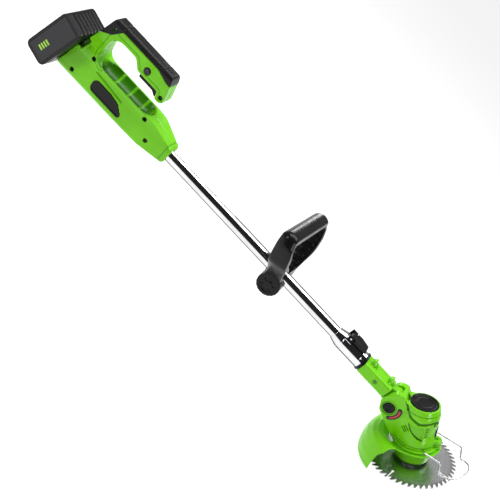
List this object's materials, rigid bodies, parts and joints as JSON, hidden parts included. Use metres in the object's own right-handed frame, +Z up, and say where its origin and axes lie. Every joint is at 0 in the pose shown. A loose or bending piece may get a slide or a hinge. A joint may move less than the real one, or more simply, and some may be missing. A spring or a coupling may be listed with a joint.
{
  "type": "lawn edger",
  "caption": "Cordless lawn edger: telescoping shaft, D-handle with slide-on battery, clamped loop handle and a tilting head that spins a circular saw blade under a hood",
  "frame": {"origin": "middle of the rear grip, where the hand holds the D-handle, 95 mm above the shaft's axis", "axes": "+X forward along the shaft to the blade, +Y to the operator's left, +Z up, square to the shaft on the grip's side"},
  "size_m": [0.9728, 0.1515, 0.2174],
  "materials": {
    "green_shell": "satin moulded, fine texture",
    "green_guard": "satin moulded",
    "soft_grip": "matt soft-touch",
    "black_plastic": "fine grained",
    "grey_plastic": "fine grained",
    "label_grey": "satin",
    "red_plastic": "satin",
    "tube_chrome": "polished",
    "blade_steel": "ground and lacquered",
    "fastener_steel": "blackened",
    "bright_steel": "zinc plated",
    "motor_iron": "painted",
    "board": "lacquered",
    "contact_brass": "bright",
    "wire_skin": "smooth",
    "cell_wrap": "shrink wrap over the can"
  },
  "bodies": {
    "handle": {"handle_shell_right": "green_shell", "handle_shell_left": "green_shell", "grip_cover": "soft_grip", "side_inlay_right": "soft_grip", "side_inlay_left": "soft_grip", "shell_screws": "fastener_steel", "lock_button_ring": "black_plastic", "trigger_pin": "bright_steel", "trigger_spring": "bright_steel", "main_switch": "black_plastic", "control_board": "board", "battery_rail": "black_plastic", "battery_terminals": "contact_brass", "handle_wiring": "wire_skin", "main_tube": "tube_chrome", "lock_sleeve": "tube_chrome", "sleeve_ring": "black_plastic", "lever_pin": "bright_steel"},
    "trigger": {"trigger": "black_plastic"},
    "lock_button": {"lock_button": "grey_plastic"},
    "battery": {"battery_case": "black_plastic", "battery_bezel": "grey_plastic", "battery_label": "label_grey", "battery_cells": "cell_wrap", "battery_contacts": "contact_brass"},
    "battery_latch": {"battery_latch": "black_plastic"},
    "front_handle": {"front_handle": "black_plastic", "clamp_bolt": "bright_steel"},
    "clamp_knob": {"clamp_knob": "black_plastic"},
    "lock_lever": {"lock_lever": "black_plastic"},
    "lower_shaft": {"inner_tube": "tube_chrome", "neck": "green_shell", "neck_screws": "fastener_steel"},
    "tilt_button": {"tilt_button": "black_plastic"},
    "head": {"head_shell_right": "green_shell", "head_shell_left": "green_shell", "head_screws": "fastener_steel", "pivot_pin": "bright_steel", "motor": "motor_iron", "motor_cap": "black_plastic", "bearings": "bright_steel", "front_insert": "grey_plastic", "tilt_gauge": "red_plastic", "base_flange": "green_guard", "blade_guard": "green_guard", "guard_screws": "fastener_steel"},
    "blade_rotor": {"motor_shaft": "bright_steel", "cooling_fan": "black_plastic", "shaft_coupling": "bright_steel", "spindle": "bright_steel", "upper_flange": "bright_steel", "saw_blade": "blade_steel", "lower_flange": "bright_steel", "blade_nut": "bright_steel"},
    "wire_guard": {"wire_guard": "bright_steel"}
  },
  "joints": [
    {"name": "trigger_squeeze", "type": "hinge", "parent": "handle", "child": "trigger", "pos_m": [0.0475, 0, -0.021], "axis": [0, 1, 0], "range_deg": [0, 8], "stiffness_Nm_per_rad": 0.6, "springref_deg": -17.19},
    {"name": "lock_button_push", "type": "slide", "parent": "handle", "child": "lock_button", "axis": [0, 1, 0], "range_m": [0, 0.004], "stiffness_N_per_m": 600, "springref_m": -0.003},
    {"name": "battery_slide", "type": "slide", "parent": "handle", "child": "battery", "axis": [0, -1, 0], "range_m": [0, 0.075]},
    {"name": "battery_latch_press", "type": "slide", "parent": "battery", "child": "battery_latch", "axis": [-0.9573, 0, 0.289], "range_m": [0, 0.003], "stiffness_N_per_m": 600, "springref_m": -0.002},
    {"name": "front_handle_slide", "type": "slide", "parent": "handle", "child": "front_handle", "axis": [1, 0, 0], "range_m": [-0.06, 0.06]},
    {"name": "clamp_knob_turn", "type": "hinge", "parent": "front_handle", "child": "clamp_knob", "pos_m": [0.385, -0.0213, -0.1105], "axis": [0, -1, 0], "continuous": true},
    {"name": "lock_lever_open", "type": "hinge", "parent": "handle", "child": "lock_lever", "pos_m": [0.538, 0, -0.0755], "axis": [0, -1, 0], "range_deg": [0, 90]},
    {"name": "shaft_telescope", "type": "slide", "parent": "handle", "child": "lower_shaft", "axis": [1, 0, 0], "range_m": [0, 0.25]},
    {"name": "head_tilt", "type": "hinge", "parent": "lower_shaft", "child": "head", "pos_m": [0.6624, 0, -0.1077], "axis": [0, 1, 0], "range_deg": [-8, 52]},
    {"name": "tilt_button_push", "type": "slide", "parent": "head", "child": "tilt_button", "axis": [0, 1, 0], "range_m": [0, 0.003], "stiffness_N_per_m": 600, "springref_m": -0.002},
    {"name": "blade_spin", "type": "hinge", "parent": "head", "child": "blade_rotor", "pos_m": [0.75675, 0, -0.15277], "axis": [-0.5793, 0, 0.8151], "continuous": true},
    {"name": "wire_guard_lift", "type": "hinge", "parent": "head", "child": "wire_guard", "pos_m": [0.75035, 0, -0.10752], "axis": [0, -1, 0], "range_deg": [0, 40]}
  ]
}
